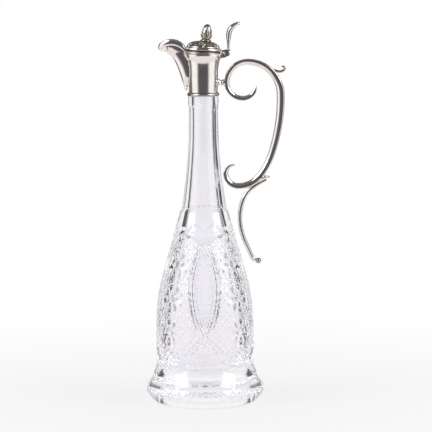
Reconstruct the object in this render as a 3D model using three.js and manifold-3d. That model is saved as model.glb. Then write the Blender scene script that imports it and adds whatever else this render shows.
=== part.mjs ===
// Silver-mounted cut-glass claret jug: a tall flared bottle of clear glass with a panelled neck,
// and a silver collar, pouring spout, hinged lid, thumb lever and free-hanging scroll handle.
// Millimetres, +Z up. The origin is the centre of the flat base, the spout points to -X.
import * as THREE from 'three';
import { mergeVertices } from 'three/addons/utils/BufferGeometryUtils.js';
import Module from 'manifold-3d';

const wasm = await Module();
wasm.setup();

// Gap left between pieces that touch, and the width of every soldered or seated joint
const seam = 0.3;

// Glass foot and body, heights from the table
const restRadius = 49;
const footRadius = 59;
const footEdgeHeight = 13;
const footTopRadius = 57.6;
const footTopHeight = 19.5;
const coveReach = 1.8;
const coveHeight = 5.5;
const scallopCount = 40;
const scallopDepth = 1.3;
const waistRadius = 48.4;
const waistHeight = 40;
const bellyRadius = 49.1;
const bellyHeight = 70;
const taperStartRadius = 42.5;
const taperStartHeight = 127.5;
const shoulderRadius = 24.3;
const shoulderHeight = 192.5;

// Glass neck: flat-cut panels between ridges, and a plain ring that carries the mount
const panelCount = 8;
const neckFootRadius = 21.7;
const neckRadius = 14.3;
const neckChamfer = 3.5;
const neckRingRadius = 15.2;
const neckRingBase = 299.5;
const neckRingHeight = 7.8;
const plugRadius = 12.2;
const plugHeight = 18.7;

// Inside of the bottle
const cavityFloorHeight = 30;
const cavityRadius = 38.6;
const cavityTaperHeight = 80;
const boreFootRadius = 12;
const boreFootHeight = 203;
const boreRadius = 7.6;
const boreStraightHeight = 275;
const mouthRadius = 9.4;
const mouthDepth = 5;

// Silver collar, heights from the top of the glass ring
const plasterThickness = 0.75;
const collarWall = 1;
const collarSwell = 0.55;
const collarSwellHeight = 17;
const collarStraightHeight = 25.4;
const collarHeight = 41.7;
const flareReach = 4.1;
const flareBend = 6.3;
const flareEdge = 2.6;
const baseRingWidth = 1.35;
const baseRingHeight = 3.5;
const rimReedHeight = 1;
const rimReedDepth = 0.5;
const rimInset = 1.3;
const seatHeightAboveCollar = 2.3;
const lidCant = THREE.MathUtils.degToRad(3.5);

// Spout: an open trough with a rolled lip, reaching out from the collar
const spoutWall = 1;
const spoutRoot = 3;
const spoutHalfWidth = 6.6;
const spoutDropHeight = 8.8;
const spoutDropReach = 3.9;
const spoutReach = 29.4;
const spoutUnderHeight = 44.4;
const spoutSillHeight = 19.9;
const lipHeight = 6.2;
const lipThickness = 2.6;
const lipCrestReach = 16.4;
const lipCrestHeight = 53.4;
const lipArcRadius = 17;
const dropBallRadius = 1.6;

// Lid
const lidRadius = 18.75;
const lidRimHeight = 2.6;
const lidStepHeight = 1;
const domeRadius = 16.5;
const domeHeight = 6.5;
const domeWall = 1.1;
const bezelInset = 1.75;
const bezelWall = 1;
const bezelDepth = 2.2;
const lidRoomHeight = 20;

// Hinge, measured in the frame of the lid's seat
const hingeReach = 5.35;
const hingeDrop = 0.73;
const knuckleRadius = 2.5;
const pinRadius = 0.85;
const pinClearance = 0.35;
const lidKnuckleLength = 4.4;
const fixedKnuckleLength = 4.7;
const pinHeadRadius = 1.75;
const pinHeadLength = 1.1;
const strapWidth = 8;
const strapThickness = 1.3;

// Thumb lever, a leaf that rises from the strap and curls back
const leverRise = 14;
const leverCurlRadius = 12.2;
const leverCurl = 83;
const leverHeading = 91.5;
const leverRootWidth = 4.4;
const leverLeafWidth = 9.4;
const leverLeafThickness = 5.5;
const leverTipThickness = 2.9;
const leverTipWidth = 3.8;

// Bud finial with its calyx, stud and nut
const finialOffset = 1.7;
const finialLean = THREE.MathUtils.degToRad(3.2);
const calyxRadius = 4.3;
const calyxHeight = 2;
const budRadius = 5.4;
const budHeight = 14.8;
const budStem = 0.9;
const petalCount = 6;
const petalDepth = 0.45;
const studRadius = 1;
const nutRadius = 3;
const nutThickness = 1.8;

// Handle, heights from the top of the glass ring
const socketLength = 5.8;
const socketPadRadius = 3.9;
const socketNeckRadius = 2.6;
const socketHeight = 13;

// Main scroll: radius of each arc, from the tip inside the upper volute to the end of the lower
// curl, and the rod's thickness on the way
const voluteEndRadius = 12.7;
const voluteSideRadius = 16;
const archRadius = 20.5;
const crownRadius = 33.1;
const gripStraight = 2;
const gripRadius = 177;
const gripTurn = 19;
const heelRadius = 72;
const heelTurn = 19;
const curlUnderRadius = 27.5;
const curlSideRadius = 12.6;
const curlEndRadius = 8.4;
const tipThickness = 1.6;
const voluteThickness = 5.2;
const archThickness = 6.2;
const crownThickness = 8;
const gripThickness = 7;
const heelThickness = 6.6;
const curlThickness = 5.2;

// Thumb spur on the crown, and the thinner tail below the grip with its leaf and ball
const spurAngle = 45;
const spurLength = 6.6;
const spurBendRadius = 6;
const spurHookRadius = 1.9;
const spurRootThickness = 3.4;
const spurThickness = 2.6;
const tailStart = new THREE.Vector2(6.5, -4.4);
const tailTopRadius = 71.5;
const tailBackRadius = 24.4;
const tailWaistRadius = 47;
const tailFootRadius = 65.3;
const tailStraight = 15.1;
const tailHookRadius = 6;
const tailThickness = 4.8;
const leafLength = 4;
const leafCurlRadius = 24;
const leafWidth = 7.5;
const endBallRadius = 2.9;

// Heights and places worked out from the sizes above
const mountBase = neckRingBase + neckRingHeight + seam;
const collarFootRadius = plugRadius + plasterThickness + collarWall + 2 * seam;
const collarRadius = collarFootRadius + collarSwell;
const flareRadius = collarRadius + flareReach;
const collarTop = mountBase + collarHeight;
const seatHeight = collarTop + seatHeightAboveCollar;
const plugTop = mountBase + plugHeight;
const rimRadius = flareRadius + 0.4;
const hingeX = lidRadius + hingeReach;
const barrelHalf = lidKnuckleLength / 2 + seam + fixedKnuckleLength;

// Closes a stack of rings into one solid, with a fan of triangles over each end
function loft(rings) {
  const count = rings[0].length;
  const positions = [];
  for (const ring of rings) {
    for (const p of ring) {
      positions.push(p.x, p.y, p.z);
    }
  }
  const indices = [];
  for (let i = 0; i + 1 < rings.length; i += 1) {
    for (let j = 0; j < count; j += 1) {
      const a = i * count + j;
      const b = i * count + ((j + 1) % count);
      indices.push(a, b, b + count);
      indices.push(a, b + count, a + count);
    }
  }
  for (const end of [0, rings.length - 1]) {
    const middle = new THREE.Vector3();
    for (const p of rings[end]) {
      middle.addScaledVector(p, 1 / count);
    }
    const hub = positions.length / 3;
    positions.push(middle.x, middle.y, middle.z);
    for (let j = 0; j < count; j += 1) {
      const a = end * count + j;
      const b = end * count + ((j + 1) % count);
      indices.push(...(end === 0 ? [hub, b, a] : [hub, a, b]));
    }
  }
  const geometry = new THREE.BufferGeometry();
  geometry.setAttribute('position', new THREE.Float32BufferAttribute(positions, 3));
  geometry.setIndex(indices);
  return facingOut(geometry);
}

// Turns a closed surface the right way out when its signed volume is negative
function facingOut(geometry) {
  const index = geometry.getIndex();
  const at = geometry.getAttribute('position');
  const a = new THREE.Vector3();
  const b = new THREE.Vector3();
  const c = new THREE.Vector3();
  let volume = 0;
  for (let i = 0; i < index.count; i += 3) {
    a.fromBufferAttribute(at, index.getX(i));
    b.fromBufferAttribute(at, index.getX(i + 1));
    c.fromBufferAttribute(at, index.getX(i + 2));
    volume += a.dot(b.cross(c));
  }
  if (volume < 0) {
    for (let i = 0; i < index.count; i += 3) {
      const first = index.getX(i);
      index.setX(i, index.getX(i + 1));
      index.setX(i + 1, first);
    }
  }
  return geometry;
}

// A profile of [radius, height] pairs turned about the Z axis
function turned(profile, segments = 40) {
  const points = profile.map(([radius, height]) => new THREE.Vector2(radius, height));
  return new THREE.LatheGeometry(points, segments).rotateX(Math.PI / 2);
}

// A closed ring profile: the last point joins the first
function turnedRing(profile, segments = 40) {
  return turned([...profile, profile[0]], segments);
}

// A polygon in the XZ plane with its thickness centred on Y
function plate(outline, width) {
  const shape = new THREE.Shape(outline.map(([x, z]) => new THREE.Vector2(x, z)));
  const geometry = new THREE.ExtrudeGeometry(shape, { depth: width, bevelEnabled: false });
  return geometry.translate(0, 0, -width / 2).rotateX(Math.PI / 2);
}

function toSolid(geometry) {
  const bare = geometry.clone();
  bare.deleteAttribute('normal');
  bare.deleteAttribute('uv');
  const merged = mergeVertices(bare, 1e-4);
  return new wasm.Manifold(new wasm.Mesh({
    numProp: 3,
    vertProperties: new Float32Array(merged.getAttribute('position').array),
    triVerts: new Uint32Array(merged.getIndex().array),
  }));
}

// The first geometry with each of the others cut out of it
function cut(geometry, ...tools) {
  let solid = toSolid(geometry);
  for (const tool of tools) {
    solid = solid.subtract(toSolid(tool));
  }
  const mesh = solid.getMesh();
  const result = new THREE.BufferGeometry();
  result.setAttribute('position', new THREE.Float32BufferAttribute(mesh.vertProperties, 3));
  result.setIndex([...mesh.triVerts]);
  return result;
}

function cylinder(radius, low, high, segments = 24) {
  return turned([[0, low], [radius, low], [radius, high], [0, high]], segments);
}

// Points of a curve as [x, y] pairs, leaving out its first point when it joins another stretch
function pairs(curve, steps, skipFirst = false) {
  return curve.getPoints(steps).slice(skipFirst ? 1 : 0).map((p) => [p.x, p.y]);
}

function vector(radius, height) {
  return new THREE.Vector2(radius, height);
}

// Walks tangent arcs and straights in the XZ plane. Headings are in degrees from +X towards +Z, and
// a positive turn goes clockwise seen from the front. Each stretch ends at its own thickness.
function scroll(start, heading, thickness, stretches, stepLength = 4.5) {
  const stations = [{ point: start.clone(), heading, thickness, stretch: -1 }];
  stretches.forEach((stretch, order) => {
    const from = stations[stations.length - 1];
    const turn = THREE.MathUtils.degToRad(stretch.turn ?? 0);
    const length = stretch.length ?? Math.abs(turn) * stretch.radius;
    const steps = Math.max(2, Math.ceil(Math.max(length / stepLength, Math.abs(stretch.turn ?? 0) / 15)));
    const side = turn < 0 ? -1 : 1;
    for (let i = 1; i <= steps; i += 1) {
      const share = i / steps;
      const base = THREE.MathUtils.degToRad(from.heading);
      const point = from.point.clone();
      if (turn === 0) {
        point.add(vector(Math.cos(base), Math.sin(base)).multiplyScalar(length * share));
      } else {
        const inward = vector(Math.sin(base), -Math.cos(base)).multiplyScalar(side * stretch.radius);
        const arm = inward.clone().negate().rotateAround(vector(0, 0), -turn * share);
        point.add(inward).add(arm);
      }
      stations.push({
        point,
        heading: from.heading - (stretch.turn ?? 0) * share,
        thickness: THREE.MathUtils.lerp(from.thickness, stretch.thickness, share),
        width: stretch.width,
        stretch: order,
      });
    }
  });
  return stations;
}

// A rod of round or oval section along those stations; widthAt gives the size across, along Y
function rod(stations, { sides = 10, grow = 0, widthAt = null } = {}) {
  const rings = stations.map((station, order) => {
    const angle = THREE.MathUtils.degToRad(station.heading);
    const half = station.thickness / 2 + grow;
    const across = widthAt ? widthAt(order / (stations.length - 1)) / 2 + grow : half;
    const ring = [];
    for (let i = 0; i < sides; i += 1) {
      const turn = (i / sides) * 2 * Math.PI;
      const out = Math.cos(turn) * half;
      const x = station.point.x + Math.sin(angle) * out;
      const z = station.point.y - Math.cos(angle) * out;
      ring.push(new THREE.Vector3(x, Math.sin(turn) * across, z));
    }
    return ring;
  });
  return loft(rings);
}

// A value read off a short list of [share, value] pairs
function blend(list, share) {
  for (let i = 1; i < list.length; i += 1) {
    const [from, low] = list[i - 1];
    const [to, high] = list[i];
    if (share <= to) {
      return THREE.MathUtils.mapLinear(share, from, to, low, high);
    }
  }
  return list[list.length - 1][1];
}

const silver = new THREE.MeshStandardMaterial({ color: 0xdedad4, metalness: 1, roughness: 0.18 });
const silverDark = new THREE.MeshStandardMaterial({ color: 0xbdb6ab, metalness: 1, roughness: 0.3 });
const glass = new THREE.MeshStandardMaterial({ color: 0xe4e2ea, metalness: 0, roughness: 0.04 });
const plaster = new THREE.MeshStandardMaterial({ color: 0xe6e0d2, metalness: 0, roughness: 0.9 });

const jug = new THREE.Group();
const lid = new THREE.Group();
lid.position.z = seatHeight;
lid.rotation.y = lidCant;
const finial = new THREE.Group();
finial.position.set(finialOffset, 0, 0);
finial.rotation.y = finialLean;
lid.add(finial);
const hingeSeat = new THREE.Group();
hingeSeat.position.copy(lid.position);
hingeSeat.rotation.copy(lid.rotation);
jug.add(lid, hingeSeat);
jug.updateMatrixWorld(true);

function piece(name, geometry, material, parent = jug) {
  const mesh = new THREE.Mesh(geometry, material);
  mesh.name = name;
  parent.add(mesh);
  return mesh;
}

// The bottle: rings of one vertex count, so that panels and scallops run into round stretches
const glassSteps = 2 * scallopCount;

function glassRing(height, radiusAt) {
  const ring = [];
  for (let i = 0; i < glassSteps; i += 1) {
    const angle = (i / glassSteps) * 2 * Math.PI;
    const radius = radiusAt(angle, i);
    ring.push(new THREE.Vector3(Math.cos(angle) * radius, Math.sin(angle) * radius, height));
  }
  return ring;
}

function scalloped(radius, depth) {
  return (angle, order) => radius - (order % 2) * depth;
}

// Flats of the given inner radius, meeting in ridges
function panelled(radius) {
  const panel = (2 * Math.PI) / panelCount;
  return (angle) => {
    const offset = angle - Math.round(angle / panel) * panel;
    return radius / Math.cos(offset);
  };
}

function glassBody() {
  const taperSlope = (taperStartRadius - shoulderRadius) / (shoulderHeight - taperStartHeight);
  const bellyControl = taperStartHeight - (bellyRadius - taperStartRadius) / taperSlope;
  const under = new THREE.QuadraticBezierCurve(
    vector(restRadius, 0),
    vector((restRadius + footRadius) / 2 + 1.5, footEdgeHeight / 3),
    vector(footRadius, footEdgeHeight),
  );
  const cove = new THREE.QuadraticBezierCurve(
    vector(footTopRadius, footTopHeight),
    vector(waistRadius + coveReach, footTopHeight + coveHeight),
    vector(waistRadius, waistHeight),
  );
  const belly = new THREE.QuadraticBezierCurve(
    vector(bellyRadius, bellyHeight),
    vector(bellyRadius, bellyControl),
    vector(taperStartRadius, taperStartHeight),
  );
  const neck = new THREE.CubicBezierCurve(
    vector(neckFootRadius, shoulderHeight + neckChamfer),
    vector(neckFootRadius - 5.5, shoulderHeight + neckChamfer + 42),
    vector(neckRadius, neckRingBase - 50),
    vector(neckRadius, neckRingBase - neckChamfer),
  );
  const rings = [];
  const round = ([radius, height]) => rings.push(glassRing(height, () => radius));
  pairs(under, 4).forEach(([radius, height], order, all) => {
    const depth = scallopDepth * Math.min(1, (2 * order) / (all.length - 1));
    rings.push(glassRing(height, scalloped(radius, depth)));
  });
  rings.push(glassRing((footEdgeHeight + footTopHeight) / 2, scalloped(footRadius - 0.3, scallopDepth)));
  pairs(cove, 5).forEach(round);
  pairs(belly, 5).forEach(round);
  round([THREE.MathUtils.lerp(taperStartRadius, shoulderRadius, 0.5),
    THREE.MathUtils.lerp(taperStartHeight, shoulderHeight, 0.5)]);
  round([shoulderRadius, shoulderHeight]);
  pairs(neck, 5).forEach(([radius, height]) => rings.push(glassRing(height, panelled(radius))));
  round([neckRingRadius, neckRingBase]);
  round([neckRingRadius, neckRingBase + neckRingHeight]);
  round([plugRadius, neckRingBase + neckRingHeight]);
  round([plugRadius, plugTop]);
  return cut(loft(rings), bottleCavity());
}

function bottleCavity() {
  const corner = new THREE.QuadraticBezierCurve(
    vector(cavityRadius - 9, cavityFloorHeight),
    vector(cavityRadius, cavityFloorHeight),
    vector(cavityRadius, cavityFloorHeight + 14),
  );
  const taper = new THREE.CubicBezierCurve(
    vector(cavityRadius, cavityTaperHeight),
    vector(cavityRadius, cavityTaperHeight + 34),
    vector(boreFootRadius + 3, boreFootHeight - 34),
    vector(boreFootRadius, boreFootHeight),
  );
  const neck = new THREE.QuadraticBezierCurve(
    vector(boreFootRadius, boreFootHeight),
    vector(boreRadius, boreStraightHeight - 22),
    vector(boreRadius, boreStraightHeight),
  );
  return turned([
    [0, cavityFloorHeight],
    ...pairs(corner, 3),
    ...pairs(taper, 7),
    ...pairs(neck, 4, true),
    [boreRadius, plugTop - mouthDepth],
    [mouthRadius, plugTop],
    [mouthRadius, plugTop + 1],
    [0, plugTop + 1],
  ]);
}

// The outside of the collar as [radius, height] pairs, grown by a clearance
function collarOutline(grow) {
  const flare = new THREE.QuadraticBezierCurve(
    vector(collarRadius, mountBase + collarStraightHeight),
    vector(collarRadius + 0.9, collarTop - flareBend),
    vector(flareRadius - 0.3, collarTop - flareEdge),
  );
  const points = [
    [collarFootRadius, mountBase],
    [collarFootRadius, mountBase + baseRingHeight + 2],
    [collarRadius, mountBase + collarSwellHeight],
    ...pairs(flare, 5),
    [flareRadius, collarTop],
  ];
  return points.map(([radius, height]) => [radius + grow, height]);
}

// Everything that the collar, rim moulding and lid need kept free
function mountClearance() {
  const outline = collarOutline(seam);
  const reach = rimRadius + seam;
  const top = seatHeight + 12;
  return turned([
    [0, mountBase - 5],
    [outline[0][0], mountBase - 5],
    ...outline.slice(0, -1),
    [reach, collarTop - 1],
    [reach, top],
    [0, top],
  ], 48);
}

// The throat through which the wine runs from the collar into the spout
function throatWindow() {
  const half = spoutHalfWidth - spoutWall - 0.2;
  const low = mountBase + spoutSillHeight;
  const box = new THREE.BoxGeometry(rimRadius, 2 * half, seatHeight + 10 - low);
  return box.translate(-collarRadius / 2 - rimRadius / 2, 0, (seatHeight + 10 + low) / 2);
}

function neckCollar() {
  const outer = collarOutline(0);
  const inner = collarOutline(-collarWall).reverse();
  return cut(turnedRing([...outer, ...inner], 48), throatWindow());
}

function rimMoulding() {
  const base = collarTop + seam;
  const inner = flareRadius - rimInset;
  const face = rimRadius - rimReedDepth;
  const profile = [[inner, base], [face, base]];
  for (let i = 0; i < 2; i += 1) {
    profile.push([rimRadius, base + (i + 0.5) * rimReedHeight]);
    profile.push([face, base + (i + 1) * rimReedHeight]);
  }
  profile.push([face, seatHeight + 3]);
  profile.push([inner, seatHeight + 3]);
  const above = new THREE.BoxGeometry(4 * rimRadius, 4 * rimRadius, lidRoomHeight);
  above.translate(0, 0, lidRoomHeight / 2).applyMatrix4(lid.matrixWorld);
  return cut(turnedRing(profile, 48), above, throatWindow(), spoutBlank(seam));
}

function baseRing() {
  const inner = collarFootRadius + seam;
  const outer = inner + baseRingWidth;
  return turnedRing([
    [inner, mountBase],
    [outer - 0.6, mountBase],
    [outer, mountBase + baseRingHeight * 0.3],
    [outer, mountBase + baseRingHeight * 0.55],
    [outer - 0.9, mountBase + baseRingHeight * 0.85],
    [inner, mountBase + baseRingHeight],
  ], 48);
}

// Height of the lip's middle line above the mount, a flat arc with its crest part way along
function lipHeightAt(x) {
  const along = x + collarRadius + lipCrestReach;
  const reach = THREE.MathUtils.clamp(along, -0.82 * lipArcRadius, 0.82 * lipArcRadius);
  return mountBase + lipCrestHeight - lipArcRadius + Math.sqrt(lipArcRadius ** 2 - reach ** 2);
}

// One level of the spout: half an oval from the root out to the nose and back
function spoutRing(nose, half, heightAt, steps = 18) {
  const root = -collarRadius + spoutRoot;
  const ring = [];
  for (let i = 0; i <= steps; i += 1) {
    const turn = (i / steps) * Math.PI - Math.PI / 2;
    const x = root + (nose - root) * Math.cos(turn);
    ring.push(new THREE.Vector3(x, half * Math.sin(turn), heightAt(x)));
  }
  return ring;
}

function spoutKeel() {
  const tip = -(collarRadius + spoutReach - lipThickness - seam);
  return new THREE.CubicBezierCurve(
    vector(-collarRadius - spoutDropReach, mountBase + spoutDropHeight),
    vector(-collarRadius - 9.9, mountBase + 29.4),
    vector(-collarRadius - 14.4, mountBase + spoutUnderHeight - 0.2),
    vector(tip, mountBase + spoutUnderHeight),
  );
}

// The spout's outer form, solid: keel levels, then the arched rim
function spoutBlank(grow = 0) {
  const keel = spoutKeel();
  const levels = 13;
  const rings = [];
  for (let i = 0; i <= levels; i += 1) {
    const at = keel.getPoint(i / levels);
    const risen = (at.y - keel.v0.y + 2.5) / 17;
    const half = spoutHalfWidth * Math.sin((Math.PI / 2) * Math.min(1, risen));
    rings.push(spoutRing(at.x - grow, half + grow, () => at.y - (i === 0 ? grow : 0)));
  }
  rings.push(spoutRing(keel.v3.x - grow, spoutHalfWidth + grow, (x) => lipHeightAt(x) + grow));
  return loft(rings);
}

// The hollow of the trough, one wall inside the outer form and open above
function spoutHollow() {
  const keel = spoutKeel();
  const levels = 12;
  const start = 0.34;
  const rings = [];
  const half = spoutHalfWidth - spoutWall;
  for (let i = 0; i <= levels; i += 1) {
    const share = THREE.MathUtils.lerp(start, 1, i / levels);
    const at = keel.getPoint(share);
    const along = keel.getTangent(share);
    const nose = at.x + along.y * spoutWall;
    const height = at.y - along.x * spoutWall;
    rings.push(spoutRing(Math.max(nose, keel.v3.x + spoutWall), half, () => height));
  }
  rings.push(spoutRing(keel.v3.x + spoutWall, half, (x) => lipHeightAt(x) + 4));
  return loft(rings);
}

function pouringSpout() {
  return cut(spoutBlank(), spoutHollow(), mountClearance());
}

// The rolled lip follows the trough's rim from the collar round the nose and back
function spoutLip() {
  const root = -collarRadius + spoutRoot;
  const reach = -collarRadius - spoutReach + lipThickness / 2 - root;
  const half = spoutHalfWidth + seam + lipThickness / 2;
  const steps = 36;
  const sides = 10;
  const rings = [];
  for (let i = 1; i < steps; i += 1) {
    const turn = (i / steps) * Math.PI - Math.PI / 2;
    const x = root + reach * Math.cos(turn);
    const y = half * Math.sin(turn);
    const out = vector(Math.cos(turn) / reach, Math.sin(turn) / half).normalize();
    const ring = [];
    for (let j = 0; j < sides; j += 1) {
      const around = (j / sides) * 2 * Math.PI;
      const across = (Math.cos(around) * lipThickness) / 2;
      const height = lipHeightAt(x) + (Math.sin(around) * lipHeight) / 2;
      ring.push(new THREE.Vector3(x + out.x * across, y + out.y * across, height));
    }
    rings.push(ring);
  }
  return cut(loft(rings), mountClearance());
}

// Outside of the lid as [radius, height] pairs above its seat
function domeOutline(grow) {
  const base = seam + lidRimHeight + lidStepHeight;
  const points = [];
  for (let i = 0; i <= 8; i += 1) {
    const turn = (i / 8) * (Math.PI / 2);
    points.push([(domeRadius + grow) * Math.cos(turn), base + (domeHeight + grow) * Math.sin(turn)]);
  }
  return points;
}

function lidDome() {
  const rimTop = seam + lidRimHeight;
  const inner = domeRadius - domeWall;
  const outside = [
    [0, seam],
    [lidRadius - 0.6, seam],
    [lidRadius, seam + 0.7],
    [lidRadius, rimTop - 0.7],
    [lidRadius - 0.6, rimTop],
    [domeRadius + 0.9, rimTop + 0.1],
    [domeRadius + 0.4, rimTop + lidStepHeight * 0.7],
    ...domeOutline(0).slice(0, -1),
    [0, domeOutline(0).at(-1)[1]],
  ];
  const inside = [
    [0, seam - 1],
    [inner, seam - 1],
    ...domeOutline(-domeWall).slice(0, -1),
    [0, domeOutline(-domeWall).at(-1)[1]],
  ];
  const bore = cylinder(studRadius + seam, 0, 20, 16).applyMatrix4(finial.matrix);
  return cut(turned(outside, 48), turned(inside, 48), bore);
}

function lidBezel() {
  const outer = lidRadius - bezelInset;
  return turnedRing([
    [outer - bezelWall, -bezelDepth],
    [outer - 0.2, -bezelDepth],
    [outer, -bezelDepth + 0.4],
    [outer, 0],
    [outer - bezelWall, 0],
  ], 48);
}

// A cylinder along Y on the hinge axis, in the frame of the seat
function onHinge(geometry) {
  return geometry.rotateX(Math.PI / 2).translate(hingeX, 0, -hingeDrop);
}

function knuckle(low, high) {
  const bore = pinRadius + pinClearance;
  return onHinge(turnedRing([[bore, low], [knuckleRadius, low], [knuckleRadius, high], [bore, high]], 20));
}

function hingePin() {
  const end = barrelHalf + seam;
  const tip = end + pinHeadLength;
  return onHinge(turned([
    [0, -tip],
    [pinHeadRadius * 0.6, -tip],
    [pinHeadRadius, -end - pinHeadLength * 0.4],
    [pinHeadRadius, -end],
    [pinRadius, -end],
    [pinRadius, end],
    [pinHeadRadius, end],
    [pinHeadRadius, end + pinHeadLength * 0.4],
    [pinHeadRadius * 0.6, tip],
    [0, tip],
  ], 16));
}

function hingeLeaf() {
  const outline = [
    [hingeX - 8, -hingeDrop - 5.2],
    [hingeX - 4.2, -hingeDrop - 4.2],
    [hingeX - 0.6, -hingeDrop - knuckleRadius - 1],
    [hingeX - 0.6, -hingeDrop],
    [hingeX - 2.6, -hingeDrop + 0.3],
    [hingeX - 8, -hingeDrop + 0.3],
  ];
  const room = onHinge(cylinder(knuckleRadius + seam, -barrelHalf - 1, barrelHalf + 1));
  const inverse = hingeSeat.matrixWorld.clone().invert();
  return cut(plate(outline, 2 * barrelHalf), room, mountClearance().applyMatrix4(inverse));
}

function lidStrap() {
  const low = seam + 0.1;
  const crest = knuckleRadius + seam + strapThickness - hingeDrop;
  const outline = [
    [lidRadius - 1, low],
    [hingeX - 2.4, low],
    [hingeX, -hingeDrop + 2],
    [hingeX + 1.8, crest - strapThickness],
    [hingeX + 2.9, crest - strapThickness],
    [hingeX + 2.7, crest],
    [hingeX - 1, crest],
    [lidRadius + 1.7, low + 2.2],
    [lidRadius - 1, low + 1.9],
  ];
  const room = onHinge(cylinder(knuckleRadius + seam, -barrelHalf - 1, barrelHalf + 1));
  return cut(plate(outline, strapWidth), room, cylinder(lidRadius + seam, -5, 10, 48));
}

function thumbLever() {
  const crest = knuckleRadius + seam + strapThickness - hingeDrop;
  const start = vector(hingeX + 0.9, crest + seam);
  const stations = scroll(start, leverHeading, 2.9, [
    { length: leverRise * 0.25, thickness: 2.3 },
    { length: leverRise * 0.75, thickness: leverLeafThickness },
    { radius: leverCurlRadius, turn: leverCurl * 0.45, thickness: leverLeafThickness },
    { radius: leverCurlRadius, turn: leverCurl * 0.55, thickness: leverTipThickness },
  ], 2.2);
  const widths = [
    [0, leverRootWidth],
    [0.14, leverRootWidth - 0.6],
    [0.45, leverLeafWidth * 0.7],
    [0.68, leverLeafWidth],
    [0.85, leverLeafWidth * 0.76],
    [1, leverTipWidth],
  ];
  return rod(stations, { sides: 12, widthAt: (share) => blend(widths, share) });
}

// Top of the dome below the finial
const finialSeat = seam + lidRimHeight + lidStepHeight + domeHeight;

function lobedRing(radius, height, lobes, depth, phase = 0) {
  const steps = 4 * lobes;
  const ring = [];
  for (let i = 0; i < steps; i += 1) {
    const angle = (i / steps) * 2 * Math.PI;
    const r = radius - depth * (0.5 - 0.5 * Math.cos(lobes * angle + phase));
    ring.push(new THREE.Vector3(Math.cos(angle) * r, Math.sin(angle) * r, height));
  }
  return ring;
}

function calyx() {
  const leafGap = calyxRadius * 0.42;
  const blank = loft([
    lobedRing(calyxRadius * 0.85, finialSeat - 1, petalCount, 0),
    lobedRing(calyxRadius * 0.8, finialSeat + 0.2, petalCount, 0.3),
    lobedRing(calyxRadius * 0.52, finialSeat + calyxHeight * 0.4, petalCount, 0),
    lobedRing(calyxRadius, finialSeat + calyxHeight, petalCount, leafGap),
    lobedRing(calyxRadius - 0.5, finialSeat + calyxHeight + 0.2, petalCount, leafGap),
    lobedRing(calyxRadius * 0.4, finialSeat + calyxHeight * 0.55, petalCount, 0),
  ]);
  const dome = turned([[0, 0], ...domeOutline(seam).slice(0, -1), [0, domeOutline(seam).at(-1)[1]]], 48);
  dome.applyMatrix4(finial.matrix.clone().invert());
  return cut(blank, dome, cylinder(studRadius + seam, 0, finialSeat + budHeight, 16));
}

function bud() {
  const low = finialSeat + calyxHeight * 0.55 + seam;
  const base = low + budStem;
  const outline = [[0.31, 0], [0.31, 0.001], [0.8, 0.1], [1, 0.27], [0.99, 0.44], [0.93, 0.6], [0.6, 0.83], [0.1, 1]];
  const rings = outline.map(([wide, high], order) => {
    const isStem = order < 2;
    const depth = isStem || order === outline.length - 1 ? 0 : petalDepth;
    const height = order === 0 ? low : base + budHeight * high;
    const phase = high > 0.35 ? Math.PI : 0;
    return lobedRing(budRadius * wide, height, petalCount, depth, phase);
  });
  return cut(loft(rings), cylinder(studRadius + seam, low - 1, base + budHeight * 0.32, 16));
}

function stud() {
  const domeInner = finialSeat - domeWall;
  const top = finialSeat + calyxHeight * 0.55 + budStem + budHeight * 0.32;
  return cylinder(studRadius, domeInner - seam - nutThickness - 1.2, top, 12);
}

function finialNut() {
  const top = finialSeat - domeWall - seam - 0.35;
  const hexagon = cylinder(nutRadius, top - nutThickness, top, 6);
  return cut(hexagon, cylinder(studRadius + seam, top - nutThickness - 1, top + 1, 12));
}

// The handle's main scroll: one clockwise run of arcs from the curled tip inside the upper
// volute, over the top, down the grip and round the lower curl
const mainStretches = [
  { radius: voluteEndRadius, turn: 28, thickness: voluteThickness * 0.85 },
  { radius: voluteEndRadius, turn: 62, thickness: voluteThickness },
  { radius: voluteSideRadius, turn: 90, thickness: voluteThickness },
  { radius: archRadius, turn: 90, thickness: archThickness },
  { radius: crownRadius, turn: 90, thickness: crownThickness },
  { length: gripStraight, thickness: crownThickness },
  { radius: gripRadius, turn: gripTurn, thickness: gripThickness },
  { radius: heelRadius, turn: heelTurn, thickness: heelThickness },
  { radius: curlUnderRadius, turn: 90 - gripTurn - heelTurn, thickness: heelThickness * 0.95 },
  { radius: curlSideRadius, turn: 90, thickness: curlThickness },
  { radius: curlEndRadius, turn: 95, thickness: tipThickness },
];
const socketStretch = 2;
const crownStretch = 4;
const crossingStretch = 7;

function lastStation(stations, stretch) {
  return stations.filter((station) => station.stretch === stretch).at(-1);
}

function mainStations() {
  const loose = scroll(vector(0, 0), -90, tipThickness, mainStretches);
  const held = lastStation(loose, socketStretch);
  const home = vector(collarRadius + socketLength + held.thickness / 2, mountBase + socketHeight);
  const shift = home.clone().sub(held.point);
  for (const station of loose) {
    station.point.add(shift);
  }
  return loose;
}

const mainPath = mainStations();
const crossing = lastStation(mainPath, crossingStretch);

function handleSocket() {
  const held = lastStation(mainPath, socketStretch);
  const start = collarRadius - 1.5;
  const end = held.point.x - held.thickness / 2 + 0.9;
  const long = end - start;
  const boss = turned([
    [0, 0],
    [socketPadRadius, 0],
    [socketPadRadius, 2.7],
    [socketNeckRadius, 3.4],
    [socketNeckRadius, long - 3.2],
    [socketNeckRadius + 0.6, long - 2.6],
    [socketNeckRadius + 0.6, long],
    [0, long],
  ], 20);
  boss.rotateY(Math.PI / 2).translate(start, 0, held.point.y);
  return cut(boss, mountClearance(), rod(mainPath, { grow: seam }));
}

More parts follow.
